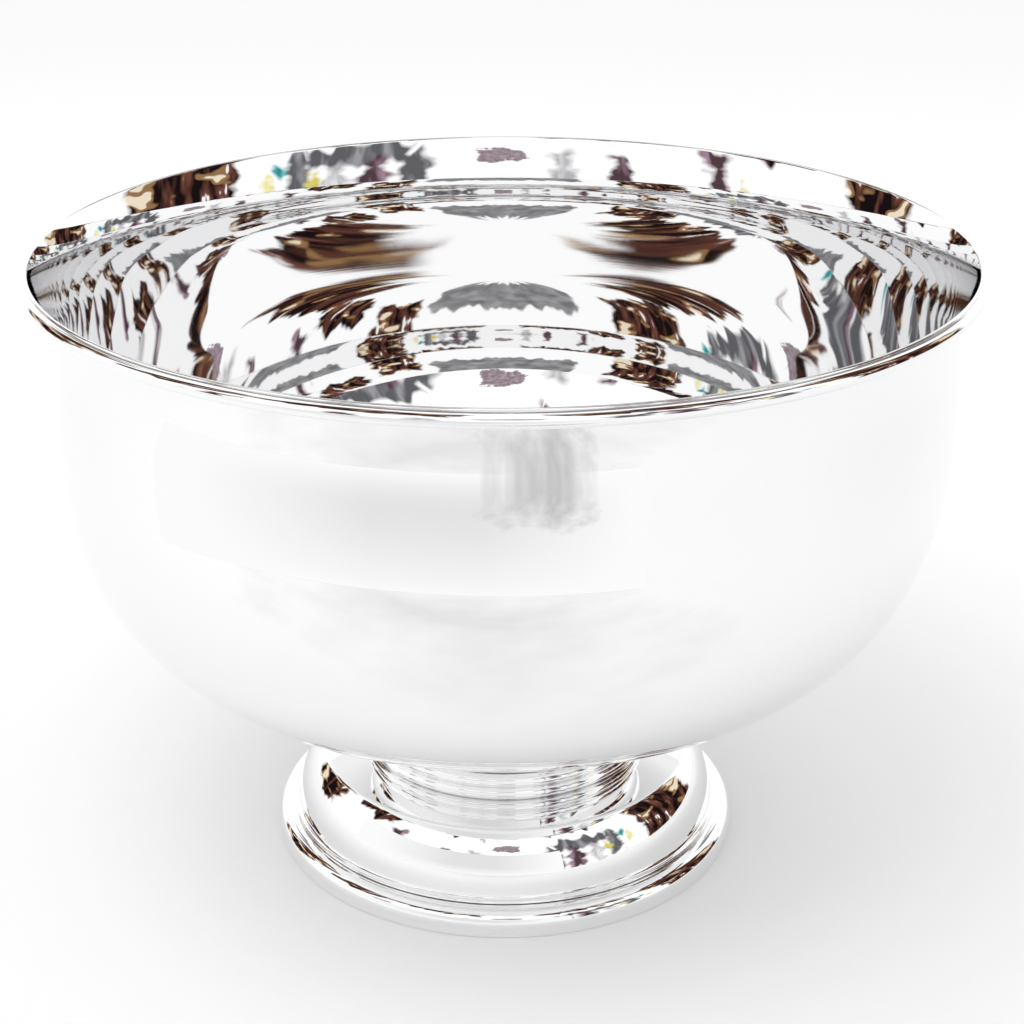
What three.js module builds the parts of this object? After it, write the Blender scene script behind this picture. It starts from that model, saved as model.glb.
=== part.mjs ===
import * as THREE from "three";

// Punch bowl on a round foot: a spun silver-plated bowl, soldered mouldings and a hollow foot held by one stud.
// Millimetres, +Z up, origin at the centre of the foot's underside.
// Every turned piece is drawn as a half section of (radius, height) points and turned about +Z.

// Driving dimensions: bowl.
const BOWL_SHEET = 1.4;
const BOWL_BOTTOM_Z = 59.5;
const BOWL_FLOOR_RADIUS = 260;
const BOWL_SHOULDER_RADIUS = 84;
const BOWL_WALL_RADIUS = 150;
const BOWL_THROAT_RADIUS = 600;
const BOWL_THROAT_LENGTH = 9;
const BOWL_FLARE_RADIUS = 92;
const FLOOR_SLOPE = 32;
const SHOULDER_SLOPE = 70;
const THROAT_SLOPE = 92;
const LIP_SLOPE = 70;

// Driving dimensions: mouldings of the rim and the neck.
const RIM_WIRE_RADIUS = 2.6;
const RIM_WIRE_STILT = 0.6;
const RIM_WIRE_SLOPE = 72.5;
const NECK_RADIUS = 57;
const NECK_RING_OUTER_RADIUS = 61;
const NECK_RING_HEIGHT = 5.3;
const NECK_RING_Z = [42.9, 48.5];
const COLLAR_INNER_RADIUS = 46;
const COLLAR_TOP_RADIUS = 63;
const COLLAR_WAIST_RADIUS = 57.6;
const COLLAR_COVE_Z = 59;
const COLLAR_SEAT_STEPS = 4;

// Driving dimensions: foot.
const FOOT_SHEET = 1.3;
const FOOT_TOP_Z = 51.3;
const FOOT_STEP_Z = 39.9;
const FOOT_SHOULDER_RADIUS = 80.5;
const FOOT_DOME_RADIUS = 34;
const FOOT_STEP_FALL = 5;
const FOOT_DOME_START = 45;
const FOOT_DOME_END = 82;
const FOOT_CORNER_RADIUS = 1.5;
const NECK_FILLET_RADIUS = 0.6;
const SHOULDER_CORNER_RADIUS = 2.5;
const FOOT_SKIRT_LENGTH = 4.3;
const FOOT_LEDGE_LENGTH = 0.5;
const BASE_RADIUS = 99.3;
const BASE_INNER_RADIUS = 90.5;
const BASE_HEIGHT = 10.9;
const BASE_CROWN_RADIUS = 6;
const BASE_BOTTOM_CHAMFER = 0.8;

// Driving dimensions: the stud and what is on it.
const STUD_RADIUS = 3;
const STUD_END_Z = 36.5;
const STUD_CHAMFER = 0.9;
const BOSS_RADIUS = 17;
const BOSS_BOTTOM_Z = 55;
const PLATE_RADIUS = 24;
const PLATE_THICKNESS = 2;
const WASHER_RADIUS = 7;
const WASHER_THICKNESS = 1.2;
const SPRING_RADIUS = 5.4;
const SPRING_THICKNESS = 1.4;
const SPRING_SPLIT = 12;
const NUT_FLATS = 10;
const NUT_THICKNESS = 5;
const HOLE_CLEARANCE = 0.5;

const GAP = 0.3;
const ROUND_SEGMENTS = 48;
const SMALL_SEGMENTS = 20;

const silver = { color: 0xf2f1ee, roughness: 0.05, metalness: 1 };
const brass = { color: 0xc9a45a, roughness: 0.3, metalness: 1 };
const steel = { color: 0xb9bcc0, roughness: 0.35, metalness: 1 };

const radians = THREE.MathUtils.degToRad;
const point = (radius, height) => new THREE.Vector2(radius, height);

// Points of an arc about (radius, height). Angles are in degrees, from +radius towards +height.
function arc(centre, size, from, to, steps) {
  const points = [];
  for (let i = 0; i <= steps; i += 1) {
    const angle = radians(from + ((to - from) * i) / steps);
    points.push(point(centre.x + size * Math.cos(angle), centre.y + size * Math.sin(angle)));
  }
  return points;
}

// One face of a spun sheet. It starts at a point with a heading in degrees, and each stretch is
// { length } for a straight one or { radius, turn, steps } for a round one, where a positive turn
// goes left. offset moves the whole face to its left.
function face(start, heading, stretches, offset) {
  const side = radians(heading + 90);
  let at = point(start.x + offset * Math.cos(side), start.y + offset * Math.sin(side));
  let course = heading;
  const points = [at];
  for (const stretch of stretches) {
    if (stretch.length !== undefined) {
      const along = radians(course);
      at = point(at.x + stretch.length * Math.cos(along), at.y + stretch.length * Math.sin(along));
      points.push(at);
    } else {
      const left = Math.sign(stretch.turn);
      const size = stretch.radius - left * offset;
      const towards = radians(course + 90 * left);
      const centre = point(at.x + size * Math.cos(towards), at.y + size * Math.sin(towards));
      const from = course - 90 * left;
      const round = arc(centre, size, from, from + stretch.turn, stretch.steps);
      points.push(...round.slice(1));
      at = round[round.length - 1];
      course += stretch.turn;
    }
  }
  return { points, end: at, heading: course };
}

// A piece turned about +Z from a closed half section.
function turned(name, section, material, segments = ROUND_SEGMENTS) {
  const geometry = new THREE.LatheGeometry(section, segments);
  geometry.rotateX(Math.PI / 2);
  const mesh = new THREE.Mesh(geometry, new THREE.MeshStandardMaterial(material));
  mesh.name = name;
  return mesh;
}

// A flat piece of one thickness, drawn in plan, with its underside at a height.
function plate(name, shape, thickness, height, material) {
  const geometry = new THREE.ExtrudeGeometry(shape, {
    depth: thickness,
    bevelEnabled: false,
    curveSegments: SMALL_SEGMENTS / 2,
  });
  const mesh = new THREE.Mesh(geometry, new THREE.MeshStandardMaterial(material));
  mesh.name = name;
  mesh.position.z = height;
  return mesh;
}

// The section of a plain flat ring, with its underside at a height.
function ringSection(inner, outer, bottom, thickness) {
  const top = bottom + thickness;
  return [
    point(inner, bottom),
    point(outer, bottom),
    point(outer, top),
    point(inner, top),
    point(inner, bottom),
  ];
}

const bowlUndersideZ = (radius) =>
  BOWL_BOTTOM_Z + BOWL_FLOOR_RADIUS - Math.sqrt(BOWL_FLOOR_RADIUS ** 2 - radius ** 2);

// The bowl's own stretches, from the middle of its floor to the lip.
const bowlStretches = [
  { radius: BOWL_FLOOR_RADIUS, turn: FLOOR_SLOPE, steps: 4 },
  { radius: BOWL_SHOULDER_RADIUS, turn: SHOULDER_SLOPE - FLOOR_SLOPE, steps: 4 },
  { radius: BOWL_WALL_RADIUS, turn: 90 - SHOULDER_SLOPE, steps: 2 },
  { radius: BOWL_THROAT_RADIUS, turn: THROAT_SLOPE - 90, steps: 1 },
  { length: BOWL_THROAT_LENGTH },
  { radius: BOWL_FLARE_RADIUS, turn: LIP_SLOPE - THROAT_SLOPE, steps: 4 },
];
const bowlOutside = face(point(0, BOWL_BOTTOM_Z), 0, bowlStretches, 0);

// A spun sheet with a half-round lip. Its mouth flares out above a slightly narrowed throat.
function bowlShell() {
  const inside = face(point(0, BOWL_BOTTOM_Z), 0, bowlStretches, BOWL_SHEET);
  const middle = bowlOutside.end.clone().lerp(inside.end, 0.5);
  const lip = arc(middle, BOWL_SHEET / 2, LIP_SLOPE - 90, LIP_SLOPE + 90, 2).slice(1, -1);
  return turned("bowl_shell", [...bowlOutside.points, ...lip, ...inside.points.reverse()], silver);
}

// Half-round wire soldered round the outside of the lip, with its flat back along the sheet.
function rimWire() {
  const out = radians(RIM_WIRE_SLOPE - 90);
  const along = radians(RIM_WIRE_SLOPE);
  const reach = GAP + RIM_WIRE_STILT;
  const centre = point(
    bowlOutside.end.x + reach * Math.cos(out) - RIM_WIRE_RADIUS * Math.cos(along),
    bowlOutside.end.y + reach * Math.sin(out) - RIM_WIRE_RADIUS * Math.sin(along),
  );
  const round = arc(centre, RIM_WIRE_RADIUS, RIM_WIRE_SLOPE - 180, RIM_WIRE_SLOPE, 8);
  const back = point(-RIM_WIRE_STILT * Math.cos(out), -RIM_WIRE_STILT * Math.sin(out));
  const bottom = round[0].clone().add(back);
  const top = round[round.length - 1].clone().add(back);
  return turned("rim_wire", [bottom, ...round, top, bottom], silver);
}

// Cast ring that fits the round underside of the bowl and sits on the top of the foot.
function bowlCollar() {
  const bottom = FOOT_TOP_Z + GAP;
  const seat = [];
  for (let i = 0; i <= COLLAR_SEAT_STEPS; i += 1) {
    const radius = THREE.MathUtils.lerp(COLLAR_TOP_RADIUS, COLLAR_INNER_RADIUS, i / COLLAR_SEAT_STEPS);
    seat.push(point(radius, bowlUndersideZ(radius) - GAP));
  }
  const cove = COLLAR_TOP_RADIUS - COLLAR_WAIST_RADIUS;
  const section = [
    point(COLLAR_INNER_RADIUS, bottom),
    point(COLLAR_WAIST_RADIUS, bottom),
    ...arc(point(COLLAR_TOP_RADIUS, COLLAR_COVE_Z), cove, 180, 100, 3),
    ...seat,
    point(COLLAR_INNER_RADIUS, bottom),
  ];
  return turned("bowl_collar", section, silver);
}

// Half-round bead ring round the neck of the foot.
function neckRing(name, height) {
  const inner = NECK_RADIUS + GAP;
  const half = NECK_RING_HEIGHT / 2;
  const crown = NECK_RING_OUTER_RADIUS - half;
  const section = [
    point(inner, height - half),
    ...arc(point(crown, height), half, -90, 90, 4),
    point(inner, height + half),
    point(inner, height - half),
  ];
  return turned(name, section, silver);
}

// The foot's own stretches, from its stud hole out over the neck and down the dome.
const footHole = STUD_RADIUS + HOLE_CLEARANCE;
const footStretches = [
  { length: NECK_RADIUS - FOOT_CORNER_RADIUS - footHole },
  { radius: FOOT_CORNER_RADIUS, turn: -90, steps: 2 },
  { length: FOOT_TOP_Z - FOOT_STEP_Z - FOOT_CORNER_RADIUS - NECK_FILLET_RADIUS },
  { radius: NECK_FILLET_RADIUS, turn: 90 - FOOT_STEP_FALL, steps: 2 },
  { length: FOOT_SHOULDER_RADIUS - NECK_RADIUS - NECK_FILLET_RADIUS - SHOULDER_CORNER_RADIUS },
  { radius: SHOULDER_CORNER_RADIUS, turn: FOOT_STEP_FALL - FOOT_DOME_START, steps: 2 },
  { radius: FOOT_DOME_RADIUS, turn: FOOT_DOME_START - FOOT_DOME_END, steps: 3 },
  { length: FOOT_SKIRT_LENGTH },
  { radius: FOOT_CORNER_RADIUS, turn: FOOT_DOME_END - FOOT_STEP_FALL, steps: 2 },
  { length: FOOT_LEDGE_LENGTH },
];

// A spun hollow foot: a flat top with a stud hole, a short neck, a dome and an out-turned edge.
function footShell() {
  const start = point(footHole, FOOT_TOP_Z);
  const outside = face(start, 0, footStretches, 0);
  const inside = face(start, 0, footStretches, -FOOT_SHEET);
  const middle = outside.end.clone().lerp(inside.end, 0.5);
  const side = outside.heading + 90;
  const edge = arc(middle, FOOT_SHEET / 2, side, side - 180, 2).slice(1, -1);
  const section = [...outside.points, ...edge, ...inside.points.reverse(), start];
  return turned("foot_shell", section.reverse(), silver);
}

// Heavy moulded ring that the foot's edge is soldered to. Its flat underside stands on the table.
function footBaseRing() {
  const crown = BASE_RADIUS - BASE_CROWN_RADIUS;
  const section = [
    point(BASE_INNER_RADIUS, 0),
    point(BASE_RADIUS - BASE_BOTTOM_CHAMFER, 0),
    point(BASE_RADIUS, BASE_BOTTOM_CHAMFER),
    ...arc(point(crown, BASE_HEIGHT - BASE_CROWN_RADIUS), BASE_CROWN_RADIUS, 0, 90, 4),
    point(BASE_INNER_RADIUS, BASE_HEIGHT),
    point(BASE_INNER_RADIUS, 0),
  ];
  return turned("foot_base_ring", section, silver);
}

// Pad brazed to the middle of the bowl's underside, which carries the stud.
function studBoss() {
  const seat = [];
  for (let i = 0; i <= COLLAR_SEAT_STEPS; i += 1) {
    const radius = BOSS_RADIUS * (1 - i / COLLAR_SEAT_STEPS);
    seat.push(point(radius, bowlUndersideZ(radius) - GAP));
  }
  const section = [point(0, BOSS_BOTTOM_Z), point(BOSS_RADIUS, BOSS_BOTTOM_Z), ...seat];
  return turned("stud_boss", section, brass, SMALL_SEGMENTS);
}

// Stud that hangs from the boss through the foot's top, with a chamfered end.
function threadedStud() {
  const top = BOSS_BOTTOM_Z - GAP;
  const tip = STUD_RADIUS - STUD_CHAMFER;
  const section = [
    point(0, STUD_END_Z),
    point(tip, STUD_END_Z),
    point(STUD_RADIUS, STUD_END_Z + STUD_CHAMFER),
    point(STUD_RADIUS, top),
    point(0, top),
  ];
  return turned("threaded_stud", section, steel, SMALL_SEGMENTS);
}

// Split spring washer, drawn in plan as a ring with a slot.
function springWasher(height) {
  const outline = new THREE.Shape();
  const from = radians(SPRING_SPLIT / 2);
  const to = 2 * Math.PI - from;
  outline.absarc(0, 0, SPRING_RADIUS, from, to, false);
  outline.absarc(0, 0, STUD_RADIUS + HOLE_CLEARANCE, to, from, true);
  return plate("spring_washer", outline, SPRING_THICKNESS, height, steel);
}

// Hexagon nut with a plain round bore.
function hexNut(height) {
  const corner = NUT_FLATS / 2 / Math.cos(Math.PI / 6);
  const outline = new THREE.Shape();
  for (let i = 0; i < 6; i += 1) {
    const angle = (i * Math.PI) / 3;
    if (i === 0) outline.moveTo(corner, 0);
    else outline.lineTo(corner * Math.cos(angle), corner * Math.sin(angle));
  }
  const tapping = new THREE.Path();
  tapping.absarc(0, 0, STUD_RADIUS + GAP, 0, 2 * Math.PI, true);
  outline.holes.push(tapping);
  return plate("hex_nut", outline, NUT_THICKNESS, height, brass);
}

// The fixing under the foot's top, from the top down.
const bore = STUD_RADIUS + HOLE_CLEARANCE;
const plateZ = FOOT_TOP_Z - FOOT_SHEET - GAP - PLATE_THICKNESS;
const washerZ = plateZ - GAP - WASHER_THICKNESS;
const springZ = washerZ - GAP - SPRING_THICKNESS;
const nutZ = springZ - GAP - NUT_THICKNESS;

const punchBowl = new THREE.Group();
punchBowl.add(
  bowlShell(),
  rimWire(),
  bowlCollar(),
  neckRing("neck_lower_ring", NECK_RING_Z[0]),
  neckRing("neck_upper_ring", NECK_RING_Z[1]),
  footShell(),
  footBaseRing(),
  studBoss(),
  threadedStud(),
  turned("backing_plate", ringSection(bore, PLATE_RADIUS, plateZ, PLATE_THICKNESS), brass),
  turned("flat_washer", ringSection(bore, WASHER_RADIUS, washerZ, WASHER_THICKNESS), steel, SMALL_SEGMENTS),
  springWasher(springZ),
  hexNut(nutZ),
);

export default punchBowl;
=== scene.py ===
"""A silver-plated punch bowl on a round foot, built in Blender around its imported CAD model."""

import math

import bmesh
import bpy
import numpy as np
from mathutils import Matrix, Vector


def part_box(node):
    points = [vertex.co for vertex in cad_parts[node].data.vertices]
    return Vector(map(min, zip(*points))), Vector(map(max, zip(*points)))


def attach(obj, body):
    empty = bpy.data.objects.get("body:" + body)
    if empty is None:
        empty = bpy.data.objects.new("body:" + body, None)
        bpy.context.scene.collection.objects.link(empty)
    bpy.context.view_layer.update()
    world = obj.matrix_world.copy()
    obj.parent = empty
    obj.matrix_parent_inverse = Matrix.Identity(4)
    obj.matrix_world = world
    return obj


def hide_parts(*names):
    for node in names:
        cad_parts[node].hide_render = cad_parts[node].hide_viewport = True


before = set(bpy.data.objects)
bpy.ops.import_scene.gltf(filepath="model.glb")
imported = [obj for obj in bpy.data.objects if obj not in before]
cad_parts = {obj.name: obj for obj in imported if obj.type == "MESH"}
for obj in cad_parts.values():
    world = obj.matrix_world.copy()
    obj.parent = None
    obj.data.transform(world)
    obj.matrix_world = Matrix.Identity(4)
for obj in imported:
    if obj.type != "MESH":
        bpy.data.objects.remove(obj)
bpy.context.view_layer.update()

MM = 0.001

# Heights and radii that the CAD nodes give, in metres.
BOWL_LOW, BOWL_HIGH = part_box("bowl_shell")
COLLAR_LOW, COLLAR_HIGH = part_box("bowl_collar")
FOOT_LOW, FOOT_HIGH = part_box("foot_shell")
BASE_LOW, BASE_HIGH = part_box("foot_base_ring")
BOSS_LOW, BOSS_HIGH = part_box("stud_boss")
STUD_LOW, STUD_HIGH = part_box("threaded_stud")
NUT_LOW, NUT_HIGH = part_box("hex_nut")

# The bowl's and the foot's sheet, and the stretches of their profiles as (radius, turn in degrees).
# A stretch with no turn is straight, and its first number is its length.
BOWL_SHEET = 1.4 * MM
FOOT_SHEET = 1.3 * MM
BOWL_FLOOR_RADIUS = 260 * MM
BOWL_STRETCHES = (
    (BOWL_FLOOR_RADIUS, 32),
    (84 * MM, 38),
    (150 * MM, 20),
    (600 * MM, 2),
    (9 * MM, 0),
    (92 * MM, -22),
)
WIRE_WIDTH = 5.2 * MM
WIRE_STILT = 0.6 * MM

# The fixing under the foot's top. SNUG is the gap left between pieces that touch.
HOLE_RADIUS = 3.5 * MM
THREAD_PITCH = 1.0 * MM
THREAD_DEPTH = 0.55 * MM
SNUG = 0.05 * MM

NECK_RADIUS = 57 * MM
NECK_EDGE = 1.5 * MM
FOOT_STRETCHES = (
    (NECK_RADIUS - NECK_EDGE - HOLE_RADIUS, 0),
    (NECK_EDGE, -90),
    (9.3 * MM, 0),
    (0.6 * MM, 85),
    (20.4 * MM, 0),
    (2.5 * MM, -40),
    (34 * MM, -37),
    (4.3 * MM, 0),
    (1.5 * MM, 77),
    (0.5 * MM, 0),
)

# Over this length one radius passes into the next.
BOWL_EASE = 5 * MM
FOOT_EASE = 0.5 * MM

SEGMENTS = 256
SMALL_SEGMENTS = 72
# A profile is followed in fine steps, and a point is kept after this much turn or this much length.
FINE_STEP = 0.25 * MM
KEPT_TURN = math.radians(1.6)
KEPT_LENGTH = 3.0 * MM


# ---------------------------------------------------------------- sections

def arc(centre, radius, start, end, steps):
    """Points of an arc in the (radius, height) half plane, with angles in degrees."""
    angles = np.radians(np.linspace(start, end, steps + 1))
    return np.column_stack([centre[0] + radius * np.cos(angles), centre[1] + radius * np.sin(angles)])


def course(start, heading, stretches, ease=0.0):
    """Points and unit left normals along a spun profile. ease blends one radius into the next."""
    bends, lengths = [], []
    for size, turn in stretches:
        length = size * math.radians(abs(turn)) if turn else size
        count = max(1, round(length / FINE_STEP))
        bends += [math.radians(turn) / count] * count
        lengths += [length / count] * count
    bends, lengths = np.array(bends), np.array(lengths)
    half = round(ease / FINE_STEP)
    if half:
        kernel = np.hanning(2 * half + 3)[1:-1]
        bends = np.convolve(np.pad(bends, half, mode="edge"), kernel / kernel.sum(), "valid")
    headings = math.radians(heading) + np.concatenate([[0], np.cumsum(bends)])
    middles = (headings[1:] + headings[:-1]) / 2
    radii = start[0] + np.concatenate([[0], np.cumsum(lengths * np.cos(middles))])
    heights = start[1] + np.concatenate([[0], np.cumsum(lengths * np.sin(middles))])
    normals = np.column_stack([-np.sin(headings), np.cos(headings)])
    kept, turned_by, gone = [0], 0.0, 0.0
    for i in range(1, len(headings) - 1):
        turned_by += abs(headings[i] - headings[i - 1])
        gone += lengths[i - 1]
        if turned_by >= KEPT_TURN or gone >= KEPT_LENGTH:
            kept.append(i)
            turned_by, gone = 0.0, 0.0
    kept.append(len(headings) - 1)
    return np.column_stack([radii, heights])[kept], normals[kept]


def sheet_section(points, normals, thickness, edge_steps=8):
    """A closed section of a sheet: the run, a half-round edge, and back on the left at thickness."""
    other = points + normals * thickness
    middle = (points[-1] + other[-1]) / 2
    angle = math.degrees(math.atan2(*(points[-1] - middle)[::-1]))
    side = 180 if np.cross(normals[-1], points[-1] - points[-2]) < 0 else -180
    if thickness < 0:
        side = -side
    edge = arc(middle, abs(thickness) / 2, angle, angle + side, edge_steps)[1:-1]
    return np.concatenate([points, edge, other[::-1]])


# ---------------------------------------------------------------- meshes

def finished(name, mesh, materials, node, sharp=35):
    """Links a mesh as a piece that rides on the one body and replaces its CAD node."""
    tool = bmesh.new()
    tool.from_mesh(mesh)
    bmesh.ops.recalc_face_normals(tool, faces=tool.faces)
    tool.to_mesh(mesh)
    tool.free()
    mesh.shade_smooth()
    mesh.set_sharp_from_angle(angle=math.radians(sharp))
    for material in materials:
        mesh.materials.append(material)
    piece = bpy.data.objects.new(name, mesh)
    bpy.context.scene.collection.objects.link(piece)
    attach(piece, "root")
    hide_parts(node)
    return piece


def turned_mesh(name, section, segments=SEGMENTS):
    """Turns a section about +Z. It closes on itself, unless it starts and ends on the axis."""
    on_axis = section[0][0] < 1e-9 and section[-1][0] < 1e-9
    angles = np.linspace(0, 2 * math.pi, segments, endpoint=False)
    rings = section[1:-1] if on_axis else section
    points = np.empty((len(rings), segments, 3))
    points[:, :, 0] = rings[:, :1] * np.cos(angles)
    points[:, :, 1] = rings[:, :1] * np.sin(angles)
    points[:, :, 2] = rings[:, 1:]
    vertices = points.reshape(-1, 3).tolist()
    count = len(rings)
    faces = []
    for i in range(count if not on_axis else count - 1):
        low, high = i * segments, ((i + 1) % count) * segments
        for j in range(segments):
            k = (j + 1) % segments
            faces.append((low + j, low + k, high + k, high + j))
    if on_axis:
        first, last = len(vertices), len(vertices) + 1
        vertices += [(0, 0, section[0][1]), (0, 0, section[-1][1])]
        top = (count - 1) * segments
        for j in range(segments):
            k = (j + 1) % segments
            faces.append((first, k, j))
            faces.append((top + j, top + k, last))
    mesh = bpy.data.meshes.new(name)
    mesh.from_pydata(vertices, [], faces)
    return mesh


# ---------------------------------------------------------------- materials

class Nodes:
    """A short way to add nodes to one tree, to set them and to join them."""

    def __init__(self, tree):
        self.tree = tree

    def add(self, kind, inputs=None, **settings):
        node = self.tree.nodes.new(kind)
        for name, value in settings.items():
            setattr(node, name, value)
        for name, value in (inputs or {}).items():
            socket = node.inputs[name]
            if isinstance(value, bpy.types.NodeSocket):
                self.tree.links.new(value, socket)
            else:
                socket.default_value = value
        return node

    def math(self, operation, first, second=0.0):
        return self.add("ShaderNodeMath", {0: first, 1: second}, operation=operation).outputs[0]

    def spread(self, value, low, high, start=0.0, end=1.0):
        """value from start..end, mapped to low..high."""
        inputs = {"Value": value, "From Min": start, "From Max": end, "To Min": low, "To Max": high}
        return self.add("ShaderNodeMapRange", inputs).outputs["Result"]

    def noise(self, vector, scale, detail=2.0, rough=0.5):
        inputs = {"Vector": vector, "Scale": scale, "Detail": detail, "Roughness": rough}
        return self.add("ShaderNodeTexNoise", inputs).outputs["Fac"]

    def blend(self, low, high, factor):
        """Low colour where factor is 0, high colour where it is 1. Each is a colour or a socket."""
        mix = self.add("ShaderNodeMix", {"Factor": factor}, data_type="RGBA")
        for name, value in (("A", low), ("B", high)):
            if isinstance(value, tuple):
                mix.inputs[name].default_value = (*value, 1)
            else:
                self.tree.links.new(value, mix.inputs[name])
        return mix.outputs["Result"]

    def combine(self, x, y, z):
        return self.add("ShaderNodeCombineXYZ", {"X": x, "Y": y, "Z": z}).outputs[0]

    def bump(self, height, distance, strength=1.0, normal=None):
        inputs = {"Height": height, "Distance": distance, "Strength": strength}
        if normal is not None:
            inputs["Normal"] = normal
        return self.add("ShaderNodeBump", inputs).outputs["Normal"]


def new_material(name, colour, metallic):
    """An empty metal or plain material with its node tree, shader and object coordinates."""
    material = bpy.data.materials.new(name)
    material.use_nodes = True
    nodes = Nodes(material.node_tree)
    shader = next(n for n in material.node_tree.nodes if n.type == "BSDF_PRINCIPLED")
    shader.inputs["Base Color"].default_value = (*colour, 1)
    shader.inputs["Metallic"].default_value = metallic
    place = nodes.add("ShaderNodeTexCoord").outputs["Object"]
    return material, nodes, shader, place


def lathe_place(nodes, place):
    """(radius, height) of a point, so that a pattern on it runs in rings about the axis."""
    axes = nodes.add("ShaderNodeSeparateXYZ", {"Vector": place}).outputs
    flat = nodes.combine(axes["X"], axes["Y"], 0.0)
    radius = nodes.add("ShaderNodeVectorMath", {0: flat}, operation="LENGTH").outputs["Value"]
    return nodes.combine(radius, axes["Z"], 0.0)


SILVER = (0.915, 0.915, 0.918)
GLOSS = (0.006, 0.03)
LINE_DEPTH = 0.0004 * MM
TARNISH = 0.72


def polished_silver(name, ripple, uneven):
    """Mirror silver plate with faint spinning ripples, polishing lines and wiped smears."""
    material, nodes, shader, place = new_material(name, SILVER, 1.0)
    rings = lathe_place(nodes, place)
    smear = nodes.noise(place, 22, 6, 0.62)
    lines = nodes.noise(rings, 2600, 2, 0.5)
    rough = nodes.spread(smear, *GLOSS, 0.35, 0.7)
    rough = nodes.math("ADD", rough, nodes.spread(lines, 0.0, 0.012, 0.3, 0.8))
    nodes.tree.links.new(rough, shader.inputs["Roughness"])
    normal = nodes.bump(nodes.noise(place, 9, 1, 0.4), uneven)
    normal = nodes.bump(nodes.noise(rings, 75, 1, 0.4), ripple, normal=normal)
    normal = nodes.bump(lines, LINE_DEPTH, normal=normal)
    nodes.tree.links.new(normal, shader.inputs["Normal"])
    return material


def worked_metal(name, colour, rough, line_scale, line_depth, speck=40):
    """Turned or plated metal that was never polished: tool lines in rings and a mottled tone."""
    material, nodes, shader, place = new_material(name, colour, 1.0)
    rings = lathe_place(nodes, place)
    mottle = nodes.noise(place, speck, 5, 0.6)
    dark = tuple(TARNISH * c for c in colour)
    tone = nodes.blend(dark, colour, nodes.spread(mottle, 0.0, 1.0, 0.35, 0.7))
    uneven = nodes.spread(mottle, rough + 0.1, rough - 0.06, 0.3, 0.75)
    lines = nodes.noise(rings, line_scale, 3, 0.6)
    nodes.tree.links.new(tone, shader.inputs["Base Color"])
    nodes.tree.links.new(uneven, shader.inputs["Roughness"])
    nodes.tree.links.new(nodes.bump(lines, line_depth), shader.inputs["Normal"])
    return material


# ---------------------------------------------------------------- the bowl

def make_bowl(silver):
    """The spun bowl: one sheet from the middle of its floor to a half-round lip."""
    points, normals = course((0, BOWL_LOW.z), 0, BOWL_STRETCHES, BOWL_EASE)
    section = sheet_section(points, normals, BOWL_SHEET)
    mesh = turned_mesh("spun_bowl", section)
    finished("spun_bowl", mesh, [silver], "bowl_shell")
    return points, normals


def make_rim_wire(silver, points, normals):
    """Half-round wire soldered round the outside of the lip, its flat back bent along the sheet."""
    from_end = np.cumsum(np.hypot(*np.diff(points[::-1], axis=0).T))
    behind = 1 + int(np.searchsorted(from_end, WIRE_WIDTH))
    back = (points - normals * SNUG)[-1 - behind:]
    middle, along = (back[0] + back[-1]) / 2, (back[-1] - back[0]) / 2
    out = np.array([along[1], -along[0]])
    stilt = out / np.linalg.norm(out) * WIRE_STILT
    turns = np.radians(np.linspace(90, -90, 29))[:, None]
    face = middle + stilt + out * np.cos(turns) + along * np.sin(turns)
    section = np.concatenate([back, face])
    return finished("wired_rim", turned_mesh("wired_rim", section), [silver], "rim_wire")


def underside(radius):
    """Height of the bowl's underside at a radius, over its round floor."""
    return BOWL_LOW.z + BOWL_FLOOR_RADIUS - math.sqrt(BOWL_FLOOR_RADIUS**2 - radius**2)


def make_collar(silver):
    """Cast ring with a cove that carries the bowl."""
    top, waist, inner = COLLAR_HIGH.x, 57.6 * MM, 46 * MM
    cove, cove_height, edge = top - waist, 59 * MM, 0.5 * MM
    brim, chamfer_height, chamfer_width = 1.2 * MM, 0.4 * MM, 0.2 * MM
    brim_low = underside(top) - brim
    seat = [(r, underside(r) - SNUG) for r in np.linspace(top, inner, 10)]
    section = [
        (inner, COLLAR_LOW.z),
        (waist - edge, COLLAR_LOW.z),
        *arc((waist - edge, COLLAR_LOW.z + edge), edge, -90, 0, 4)[1:],
        *arc((top, cove_height), cove, 180, 104, 14),
        (top - chamfer_width, brim_low - chamfer_height),
        (top, brim_low),
        *seat,
    ]
    mesh = turned_mesh("collar", np.array(section))
    return finished("collar", mesh, [silver], "bowl_collar")


def make_neck_ring(node, silver):
    """Half-round bead ring, snug round the neck."""
    low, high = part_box(node)
    half = (high.z - low.z) / 2 + 2 * SNUG
    crown = (high.x - half, (high.z + low.z) / 2)
    inner = NECK_RADIUS + SNUG
    section = [(inner, crown[1] - half), *arc(crown, half, -90, 90, 24), (inner, crown[1] + half)]
    name = node.replace("_ring", "_bead")
    return finished(name, turned_mesh(name, np.array(section)), [silver], node)


def make_foot(silver, satin):
    """The spun foot, polished outside and left satin inside."""
    points, normals = course((HOLE_RADIUS, FOOT_HIGH.z), 0, FOOT_STRETCHES, FOOT_EASE)
    section = sheet_section(points, normals, -FOOT_SHEET)
    mesh = turned_mesh("spun_foot", section)
    piece = finished("spun_foot", mesh, [silver, satin], "foot_shell")
    edge_rows = 6
    inside_from = (len(points) + edge_rows) * SEGMENTS
    for face in piece.data.polygons:
        if min(face.vertices) >= inside_from:
            face.material_index = 1
    return piece


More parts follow.
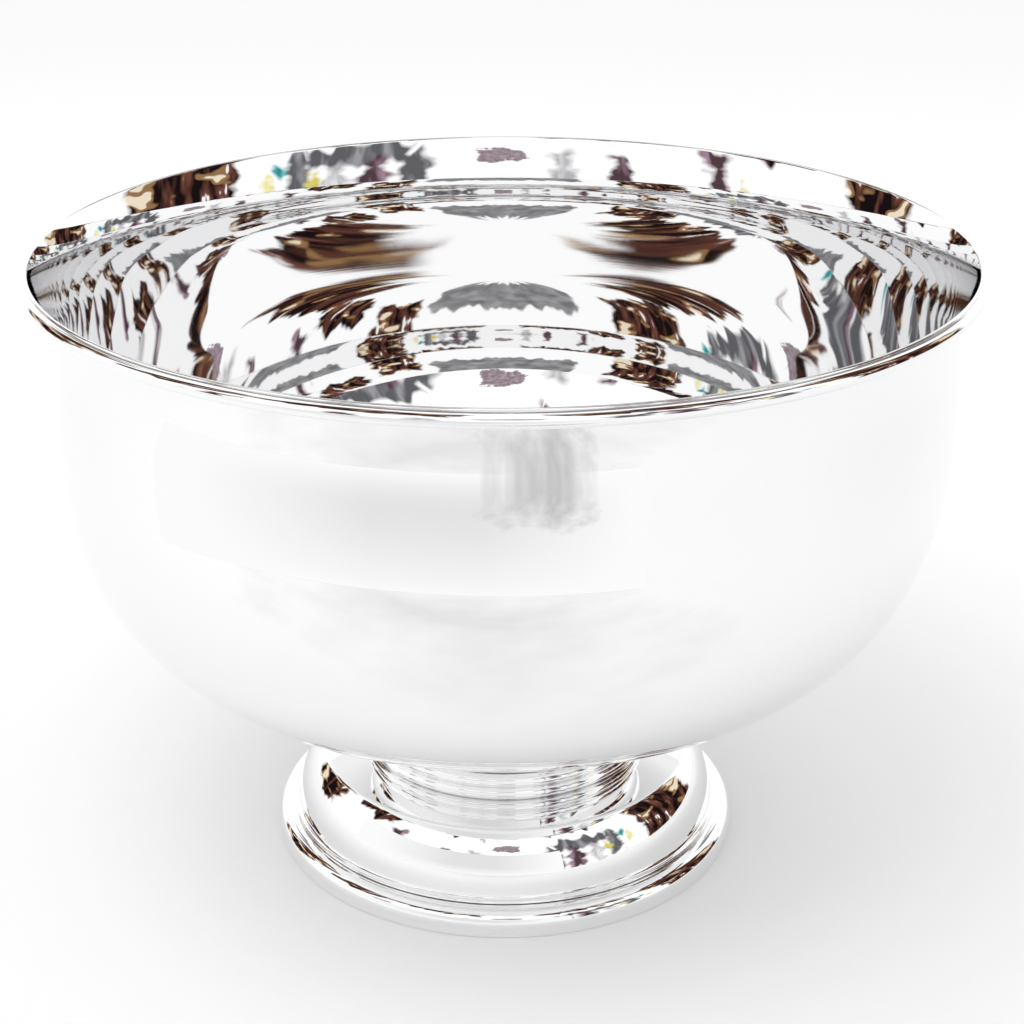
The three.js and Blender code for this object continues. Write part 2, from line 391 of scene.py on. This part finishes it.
def make_base_ring(silver):
    """The heavy moulded ring that stands on the table."""
    outer, height = BASE_HIGH.x, BASE_HIGH.z
    inner, crown, chamfer = 90.5 * MM, 6 * MM, 0.8 * MM
    section = [
        (inner + chamfer, 0),
        (outer - chamfer, 0),
        *arc((outer - chamfer, chamfer), chamfer, -90, 0, 5)[1:],
        *arc((outer - crown, height - crown), crown, 0, 90, 20),
        (inner + chamfer, height),
        (inner, height - chamfer),
        (inner, chamfer),
    ]
    mesh = turned_mesh("base_moulding", np.array(section))
    return finished("base_moulding", mesh, [silver], "foot_base_ring")


def rounded_ring(node, inner, edge):
    """Section of a flat ring with rounded edges, at the height and radius of its CAD node."""
    low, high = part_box(node)
    corners = [
        (high.x - edge, low.z + edge, -90),
        (high.x - edge, high.z - edge, 0),
        (inner + edge, high.z - edge, 90),
        (inner + edge, low.z + edge, 180),
    ]
    return np.concatenate([arc((r, z), edge, turn, turn + 90, 4) for r, z, turn in corners])


def make_boss(brass):
    """Pad under the middle of the bowl, with a fillet of brazing round its edge."""
    radius, low = BOSS_HIGH.x, BOSS_LOW.z
    edge, braze = 0.8 * MM, 1.1 * MM
    seat = [(r, underside(r) - SNUG) for r in np.linspace(radius + braze, 0, 10)]
    corner = (radius + braze, underside(radius + braze) - SNUG - braze)
    section = [
        (0, low),
        *arc((radius - edge, low + edge), edge, -90, 0, 5),
        *arc(corner, braze, 180, 90, 6)[:-1],
        *seat,
    ]
    mesh = turned_mesh("boss", np.array(section), SMALL_SEGMENTS)
    return finished("boss", mesh, [brass], "stud_boss")


# How far the thread's flanks overshoot its depth, which leaves its root flat.
ROOT_FLAT = 1.25


def thread_depth(heights, angles):
    """How deep a right-hand thread is cut, from 0 at its crest to 1 at its root."""
    part = (heights / THREAD_PITCH - angles / (2 * math.pi)) % 1.0
    return np.clip(ROOT_FLAT * (1 - np.abs(2 * part - 1)), 0, 1)


def wrapped_mesh(name, radii, heights):
    """A closed skin from rows of radii round +Z. Flat fans close its two ends."""
    rows, segments = radii.shape
    angles = np.linspace(0, 2 * math.pi, segments, endpoint=False)
    points = np.stack([radii * np.cos(angles), radii * np.sin(angles), heights + 0 * radii], axis=2)
    vertices = points.reshape(-1, 3).tolist()
    first, last = len(vertices), len(vertices) + 1
    vertices += [(0, 0, float(heights[0, 0])), (0, 0, float(heights[-1, 0]))]
    top = (rows - 1) * segments
    faces = []
    for j in range(segments):
        k = (j + 1) % segments
        faces += [(i * segments + j, i * segments + k, (i + 1) * segments + k, (i + 1) * segments + j)
                  for i in range(rows - 1)]
        faces += [(first, k, j), (top + j, top + k, last)]
    mesh = bpy.data.meshes.new(name)
    mesh.from_pydata(vertices, [], faces)
    return mesh


def make_stud(steel):
    """M6 stud with a cut thread, a plain run under the boss and a chamfered end."""
    radius, chamfer, plain = STUD_HIGH.x, 0.9 * MM, 2.2 * MM
    steps = round((STUD_HIGH.z - STUD_LOW.z) / (THREAD_PITCH / 10))
    heights = np.linspace(STUD_LOW.z, STUD_HIGH.z, steps + 1)[:, None]
    angles = np.linspace(0, 2 * math.pi, SMALL_SEGMENTS, endpoint=False)[None, :]
    fade = np.clip((STUD_HIGH.z - plain - heights) / THREAD_PITCH, 0, 1)
    radii = radius - THREAD_DEPTH * fade * thread_depth(heights, angles)
    radii = np.minimum(radii, radius - chamfer + (heights - STUD_LOW.z))
    mesh = wrapped_mesh("stud", radii, heights)
    return finished("stud", mesh, [steel], "threaded_stud", sharp=50)


def make_nut(brass):
    """Hexagon nut: turned chamfers on both faces, and a countersunk tapped hole."""
    half_flats, low, high = NUT_HIGH.y, NUT_LOW.z, NUT_HIGH.z
    thick, sink, rim = high - low, 0.45 * MM, 0.15 * MM
    face_part = 0.97
    angles = np.linspace(0, 2 * math.pi, SMALL_SEGMENTS, endpoint=False)
    sixth = math.pi / 3
    hexagon = half_flats / np.cos((angles + sixth / 2) % sixth - sixth / 2)
    from_face = np.array([0, 0.08, 0.16, 0.24, 0.32, 0.4, 0.5]) * MM
    outside = np.concatenate([from_face, thick - from_face[::-1]])
    cone = half_flats * face_part + math.sqrt(3) * np.minimum(outside, thick - outside)
    outer = np.minimum(hexagon[None, :], cone[:, None])
    inside = np.linspace(thick, 0, 41)
    root = STUD_HIGH.x + 3 * SNUG + THREAD_DEPTH
    tapped = root - THREAD_DEPTH * (1 - thread_depth(low + inside[:, None], angles[None, :]))
    countersink = root + rim + sink - np.minimum(inside, thick - inside)
    inner = np.maximum(tapped, countersink[:, None])
    radii = np.concatenate([outer, inner])
    heights = low + np.concatenate([outside, inside])
    return finished("nut", looped_mesh("nut", radii, heights), [brass], "hex_nut")


def looped_mesh(name, radii, heights):
    """A ring-shaped skin from rows of radii round +Z, with the last row joined to the first."""
    rows, segments = radii.shape
    angles = np.linspace(0, 2 * math.pi, segments, endpoint=False)
    up = heights[:, None] + 0 * radii
    points = np.stack([radii * np.cos(angles), radii * np.sin(angles), up], axis=2)
    faces = []
    for i in range(rows):
        low, high = i * segments, (i + 1) % rows * segments
        for j in range(segments):
            k = (j + 1) % segments
            faces.append((low + j, low + k, high + k, high + j))
    mesh = bpy.data.meshes.new(name)
    mesh.from_pydata(points.reshape(-1, 3).tolist(), [], faces)
    return mesh


def make_spring_washer(steel):
    """Split spring washer: a square-cornered coil whose two ends stand slightly apart."""
    edge, split, rise, steps = 0.2 * MM, math.radians(12), 0.12 * MM, 60
    outline = rounded_ring("spring_washer", HOLE_RADIUS, edge)
    turns = np.linspace(split / 2, 2 * math.pi - split / 2, steps + 1)
    vertices, faces, count = [], [], len(outline)
    for turn in turns:
        lift = rise * (turn / math.pi - 1)
        vertices += [(r * math.cos(turn), r * math.sin(turn), z + lift) for r, z in outline]
    for i in range(steps):
        for j in range(count):
            k = (j + 1) % count
            faces.append((i * count + j, i * count + k, (i + 1) * count + k, (i + 1) * count + j))
    faces += [tuple(range(count)), tuple(steps * count + j for j in reversed(range(count)))]
    mesh = bpy.data.meshes.new("split_washer")
    mesh.from_pydata(vertices, [], faces)
    return finished("split_washer", mesh, [steel], "spring_washer")


def make_flat_rings(brass, steel):
    """The backing plate that spreads the nut's pull, and the plain washer on it."""
    plate_edge, washer_edge = 0.4 * MM, 0.25 * MM
    section = rounded_ring("backing_plate", HOLE_RADIUS, plate_edge)
    plate = turned_mesh("plate", section, SMALL_SEGMENTS)
    finished("plate", plate, [brass], "backing_plate")
    section = rounded_ring("flat_washer", HOLE_RADIUS, washer_edge)
    washer = turned_mesh("washer", section, SMALL_SEGMENTS)
    finished("washer", washer, [steel], "flat_washer")


silver_bowl = polished_silver("polished_silver_bowl", 0.018 * MM, 0.12 * MM)
silver_trim = polished_silver("polished_silver_trim", 0.006 * MM, 0.05 * MM)
satin_silver = worked_metal("satin_silver", (0.82, 0.81, 0.78), 0.34, 900, 0.01 * MM)

fixing_brass = worked_metal("turned_brass", (0.79, 0.6, 0.3), 0.32, 700, 0.012 * MM)
fixing_steel = worked_metal("zinc_steel", (0.56, 0.56, 0.55), 0.38, 900, 0.01 * MM)

lip_points, lip_normals = make_bowl(silver_bowl)
make_rim_wire(silver_trim, lip_points, lip_normals)
make_collar(silver_trim)
make_neck_ring("neck_lower_ring", silver_trim)
make_neck_ring("neck_upper_ring", silver_trim)
make_foot(silver_trim, satin_silver)
make_base_ring(silver_trim)
make_boss(fixing_brass)
make_stud(fixing_steel)
make_flat_rings(fixing_brass, fixing_steel)
make_spring_washer(fixing_steel)
make_nut(fixing_brass)


# ---------------------------------------------------------------- floor, room, lights and camera

def link(obj):
    bpy.context.scene.collection.objects.link(obj)
    return obj


def make_floor():
    """Plain pale table, far larger than any view."""
    mesh = bpy.data.meshes.new("floor")
    reach = 9
    corners = [(-reach, -reach, 0), (reach, -reach, 0), (reach, reach, 0), (-reach, reach, 0)]
    mesh.from_pydata(corners, [], [(0, 1, 2, 3)])
    floor = link(bpy.data.objects.new("floor", mesh))
    material, nodes, shader, place = new_material("pale_floor", (0.93, 0.93, 0.93), 0.0)
    grain = nodes.noise(place, 60, 4, 0.6)
    nodes.tree.links.new(nodes.spread(grain, 0.62, 0.8), shader.inputs["Roughness"])
    shader.inputs["Specular IOR Level"].default_value = 0.2
    mesh.materials.append(material)


def glow(nodes, light, cover=None):
    """Ends a card's tree: it shines with painted light, though it is no lamp, and where cover is 0 it
    isn't there.
    """
    shine = nodes.add("ShaderNodeEmission", {"Color": light}).outputs[0]
    if cover is not None:
        clear = nodes.add("ShaderNodeBsdfTransparent").outputs[0]
        mixed = nodes.add("ShaderNodeMixShader", {0: cover})
        nodes.tree.links.new(clear, mixed.inputs[1])
        nodes.tree.links.new(shine, mixed.inputs[2])
        shine = mixed.outputs[0]
    output = nodes.add("ShaderNodeOutputMaterial")
    nodes.tree.links.new(shine, output.inputs["Surface"])


def blank_material(name):
    material = bpy.data.materials.new(name)
    material.use_nodes = True
    material.node_tree.nodes.clear()
    return material, Nodes(material.node_tree)


def grey(level):
    return (level, level, level)


def only_in_silver(obj):
    """Keeps a stage object out of every view, except as a reflection."""
    obj.visible_camera = False
    obj.visible_diffuse = False
    obj.visible_shadow = False


WORLD_LIGHT = 0.99
ROOM_RADIUS = 1.8
# Painted reflection light: the room's white glows brighter than the floor, though it is no lamp.
PAINTED_ROOM_GLOW = (1.15, 1.15, 1.15)

# How soft the shapes' edges are, how ragged their tops and how much their sides sway, in degrees.
EDGE = 1.2
RAGGED = 12
SWAY = 6

# What the silver sees round the table, painted on the glowing half globe: (bearing from the camera's
# side, half width, low, high, what), degrees.
ROOM = (
    (99, 19, -12, 56, "shelves"),
    (50, 33, 46, 75, "shelves"),
    (-84, 14, 30, 58, "shelves"),
    (-44, 31, 46, 75, "shelves"),
    (-119, 12, 2, 46, "shelves"),
    (-63, 3.5, -2, 30, "plum"),
    (-34, 3, -8, 26, "plum"),
    (-17, 4, -4, 30, "pale"),
    (26, 4, -4, 28, "grey"),
    (37, 4, -2, 32, "plum"),
    (49, 3, -4, 30, "pale"),
    (60, 3, 4, 30, "grey"),
    (42, 16, 24, 34, "grey"),
    (55, 1.5, 12, 22, "yellow"),
    (70, 2, 8, 18, "yellow"),
    (-70, 1.5, 6, 14, "yellow"),
    (66, 1.2, 20, 26, "teal"),
    (180, 42, 36, 82, "shade"),
)

# The curved glowing white sheet in front, seen only in the silver: its light, its ends' bearings in
# degrees, and where painted shade darkens it.
SCREEN_RADIUS = 0.55
SCREEN_HEIGHT = 0.25
SCREEN_TURNS = (-78, 28)
SCREEN_PANELS = 24
SCREEN_WHITE = (1.06, 1.06, 1.06)
SCREEN_SHADE = (0.84, 0.84, 0.84)
SHADE_MIDDLE = -0.14
SHADE_REACH = (0.1, 0.38)
SHADE_HEIGHT = 0.09

BLACK_BROWN = (0.01, 0.006, 0.007)
CHESTNUT = (0.2, 0.075, 0.05)
AMBER = (0.32, 0.18, 0.08)
CREAM = (0.92, 0.8, 0.62)
WHITE = (1.0, 1.0, 1.0)


def painted_room_colours(nodes, fine, coarse):
    """Painted reflection colours of what stands in the room, by name, from a fine and a coarse noise.
    """
    streak = nodes.spread(fine, 0.0, 1.0, 0.44, 0.64)
    cloud = nodes.spread(coarse, 0.0, 1.0, 0.3, 0.7)
    wood = nodes.blend(BLACK_BROWN, CHESTNUT, streak)
    wood = nodes.blend(wood, AMBER, nodes.spread(coarse, 0.0, 1.0, 0.58, 0.62))
    wood = nodes.blend(wood, CREAM, nodes.spread(coarse, 0.0, 1.0, 0.66, 0.68))
    # Thin white lines on the shelves: painted highlights.
    wood = nodes.blend(wood, WHITE, nodes.spread(fine, 0.0, 1.0, 0.63, 0.66))
    return {
        "shelves": wood,
        "plum": nodes.blend((0.09, 0.05, 0.06), (0.4, 0.26, 0.34), streak),
        "shade": nodes.blend((0.2, 0.2, 0.21), (0.4, 0.4, 0.41), cloud),
        "grey": nodes.blend((0.13, 0.13, 0.14), (0.36, 0.36, 0.38), streak),
        "pale": nodes.blend((0.5, 0.5, 0.52), (0.85, 0.84, 0.84), streak),
        "yellow": nodes.blend((0.7, 0.6, 0.08), (0.95, 0.9, 0.4), streak),
        "teal": nodes.blend((0.03, 0.3, 0.32), (0.3, 0.75, 0.75), streak),
    }


def painted_room_reflection_material():
    """Glowing white surroundings with ragged upright shapes of shelves, panels and cloth, painted for
    the silver to reflect.
    """
    material, nodes = blank_material("room")
    place = nodes.add("ShaderNodeTexCoord").outputs["Object"]
    axes = nodes.add("ShaderNodeSeparateXYZ", {"Vector": place}).outputs
    level = nodes.combine(axes["X"], axes["Y"], 0.0)
    level = nodes.add("ShaderNodeVectorMath", {0: level}, operation="NORMALIZE").outputs[0]
    up = nodes.math("DIVIDE", axes["Z"], ROOM_RADIUS)
    height = nodes.math("DEGREES", nodes.math("ARCSINE", up))
    levels = nodes.add("ShaderNodeSeparateXYZ", {"Vector": level}).outputs
    upright = nodes.combine(levels["X"], levels["Y"], nodes.math("MULTIPLY", up, 0.22))
    patchy = nodes.combine(levels["X"], levels["Y"], nodes.math("MULTIPLY", up, 1.5))
    fine = nodes.noise(upright, 13, 2, 0.55)
    coarse = nodes.noise(patchy, 6, 1, 0.5)
    tops = nodes.noise(upright, 9, 1, 0.5)
    tall = nodes.math("ADD", height, nodes.spread(tops, -RAGGED, RAGGED))
    sway = nodes.spread(nodes.noise(patchy, 5, 2, 0.5), -SWAY, SWAY)
    colours = painted_room_colours(nodes, fine, coarse)
    light = PAINTED_ROOM_GLOW
    for bearing, half, low, high, what in ROOM:
        turn = math.radians(bearing)
        dot = nodes.add("ShaderNodeVectorMath", {0: level}, operation="DOT_PRODUCT")
        dot.inputs[1].default_value = (math.sin(turn), -math.cos(turn), 0)
        off = nodes.math("DEGREES", nodes.math("ARCCOSINE", dot.outputs["Value"]))
        off = nodes.math("ADD", off, sway)
        inside = nodes.spread(off, 1.0, 0.0, half - EDGE, half + EDGE)
        above = nodes.spread(tall, 0.0, 1.0, low - EDGE, low + EDGE)
        below = nodes.spread(tall, 1.0, 0.0, high - EDGE, high + EDGE)
        mask = nodes.math("MULTIPLY", nodes.math("MULTIPLY", inside, above), below)
        light = nodes.blend(light, colours[what], mask)
    glow(nodes, light)
    return material


def make_painted_room_reflection():
    """A glowing half globe round the table, which only the silver sees: a painted reflection of the
    room.
    """
    mesh = bpy.data.meshes.new("room")
    tool = bmesh.new()
    bmesh.ops.create_uvsphere(tool, u_segments=72, v_segments=48, radius=ROOM_RADIUS)
    below = [vertex for vertex in tool.verts if vertex.co.z < -MM]
    bmesh.ops.delete(tool, geom=below, context="VERTS")
    tool.to_mesh(mesh)
    tool.free()
    mesh.materials.append(painted_room_reflection_material())
    only_in_silver(link(bpy.data.objects.new("room", mesh)))


def make_painted_reflection_screen():
    """A low curved glowing white sheet in front, seen only in the silver, which hides the low part of
    the room from the foot.
    """
    mesh = bpy.data.meshes.new("screen")
    turns = np.radians(np.linspace(*SCREEN_TURNS, SCREEN_PANELS + 1))
    low = [(SCREEN_RADIUS * math.sin(turn), -SCREEN_RADIUS * math.cos(turn), 0) for turn in turns]
    high = [(x, y, SCREEN_HEIGHT) for x, y, _ in low]
    count = len(low)
    faces = [(i, i + 1, count + i + 1, count + i) for i in range(count - 1)]
    mesh.from_pydata(low + high, [], faces)
    material, nodes = blank_material("glowing_sheet_with_painted_shade")
    place = nodes.add("ShaderNodeTexCoord").outputs["Object"]
    axes = nodes.add("ShaderNodeSeparateXYZ", {"Vector": place}).outputs
    # Painted shade: the sheet turns grey above the floor and near its middle, and the bowl's side
    # reflects that as shade.
    rise = nodes.spread(axes["Z"], 0.0, 1.0, 0.0, SHADE_HEIGHT)
    from_middle = nodes.math("ABSOLUTE", nodes.math("SUBTRACT", axes["X"], SHADE_MIDDLE))
    fade = nodes.spread(from_middle, 1.0, 0.0, *SHADE_REACH)
    glow(nodes, nodes.blend(SCREEN_WHITE, SCREEN_SHADE, nodes.math("MULTIPLY", rise, fade)))
    mesh.materials.append(material)
    only_in_silver(link(bpy.data.objects.new("screen", mesh)))


# Part of a card's half size at which it has faded out.
PATCH_END = 0.8


def painted_light_card(name, centre, tilt, size, low, high, soft):
    """A glowing card seen only in the silver, with soft, wandering edges, mottled between two colours:
    it paints shade and reflections into the silver. tilt is about X, in degrees.
    """
    mesh = bpy.data.meshes.new(name)
    x, z = size[0] / 2, size[1] / 2
    mesh.from_pydata([(-x, 0, -z), (x, 0, -z), (x, 0, z), (-x, 0, z)], [], [(0, 1, 2, 3)])
    material, nodes = blank_material(name)
    place = nodes.add("ShaderNodeTexCoord").outputs["Object"]
    wide = nodes.add("ShaderNodeMapping", {"Vector": place, "Scale": (1 / x, 1, 1 / z)}).outputs[0]
    reach = nodes.add("ShaderNodeVectorMath", {0: wide}, operation="LENGTH").outputs["Value"]
    wander = nodes.spread(nodes.noise(wide, 2.2, 3, 0.6), -0.3, 0.3, 0.3, 0.7)
    cover = nodes.spread(nodes.math("ADD", reach, wander), 1.0, 0.0, PATCH_END - soft, PATCH_END)
    glow(nodes, nodes.blend(low, high, nodes.noise(wide, 5, 2, 0.6)), cover)
    mesh.materials.append(material)
    obj = link(bpy.data.objects.new(name, mesh))
    obj.location = centre
    obj.rotation_euler.x = math.radians(tilt)
    only_in_silver(obj)


def make_world():
    """Plain white, both as light on the table and as the background."""
    world = bpy.data.worlds.new("studio")
    bpy.context.scene.world = world
    world.use_nodes = True
    tree = world.node_tree
    tree.nodes.clear()
    nodes = Nodes(tree)
    path = nodes.add("ShaderNodeLightPath").outputs["Is Camera Ray"]
    strength = nodes.spread(path, WORLD_LIGHT, 1.0)
    plain = nodes.add("ShaderNodeBackground", {"Strength": strength})
    plain.inputs["Color"].default_value = (1, 1, 1, 1)
    output = nodes.add("ShaderNodeOutputWorld")
    tree.links.new(plain.outputs[0], output.inputs["Surface"])


def soft_light(name, place, aim, size, power):
    data = bpy.data.lights.new(name, "AREA")
    data.shape = "DISK"
    data.size = size
    data.energy = power
    light = link(bpy.data.objects.new(name, data))
    light.location = place
    light.rotation_euler = (Vector(aim) - Vector(place)).to_track_quat("-Z", "Y").to_euler()
    light.visible_glossy = False


# The camera's place and its downward pitch come from the object's own rings.
CAMERA_BACK = 0.8005
CAMERA_HEIGHT = 0.4871
CAMERA_PITCH = 23.25
CAMERA_YAW = -0.22
CAMERA_LENS = 73.45


def make_camera():
    data = bpy.data.cameras.new("camera")
    data.lens = CAMERA_LENS
    data.sensor_width = 36
    data.clip_start = 0.01
    camera = link(bpy.data.objects.new("camera", data))
    camera.location = (0, -CAMERA_BACK, CAMERA_HEIGHT)
    camera.rotation_euler = (math.radians(90 - CAMERA_PITCH), 0, math.radians(CAMERA_YAW))
    bpy.context.scene.camera = camera


make_floor()
make_world()
make_painted_room_reflection()
make_painted_reflection_screen()
# Painted shadow: a soft grey card lying on the floor in front, seen only in the silver, shades the
# floor that the bowl's side reflects.
painted_light_card("painted_floor_shadow", (-0.06, -0.42, 0.002), 90, (1.0, 0.6), grey(0.84), grey(0.9), 0.75)
# Painted shade: a small grey card hung close in front of the bowl, seen only in the silver, puts a grey
# patch on the bowl's front.
painted_light_card("painted_shade_card", (0.021, -0.22, 0.210), 0, (0.08, 0.032), grey(0.5), grey(0.72), 0.6)
# Painted reflection: a dark mottled card behind the camera, seen only in the silver, stands for the
# person there.
painted_light_card("painted_visitor_reflection", (0.02, -0.86, 0.56), 0, (0.3, 0.24), (0.01, 0.008, 0.012), (0.7, 0.55, 0.62), 0.1)
soft_light("key", (-0.6, -0.6, 2.2), (0, 0, 0.1), 1.6, 10)
make_camera()
bpy.context.scene.view_settings.view_transform = "Standard"

# A deep polished bowl reflects itself many times before it shows the room.
GLOSSY_BOUNCES = 24
bpy.context.scene.cycles.max_bounces = GLOSSY_BOUNCES + 2
bpy.context.scene.cycles.glossy_bounces = GLOSSY_BOUNCES
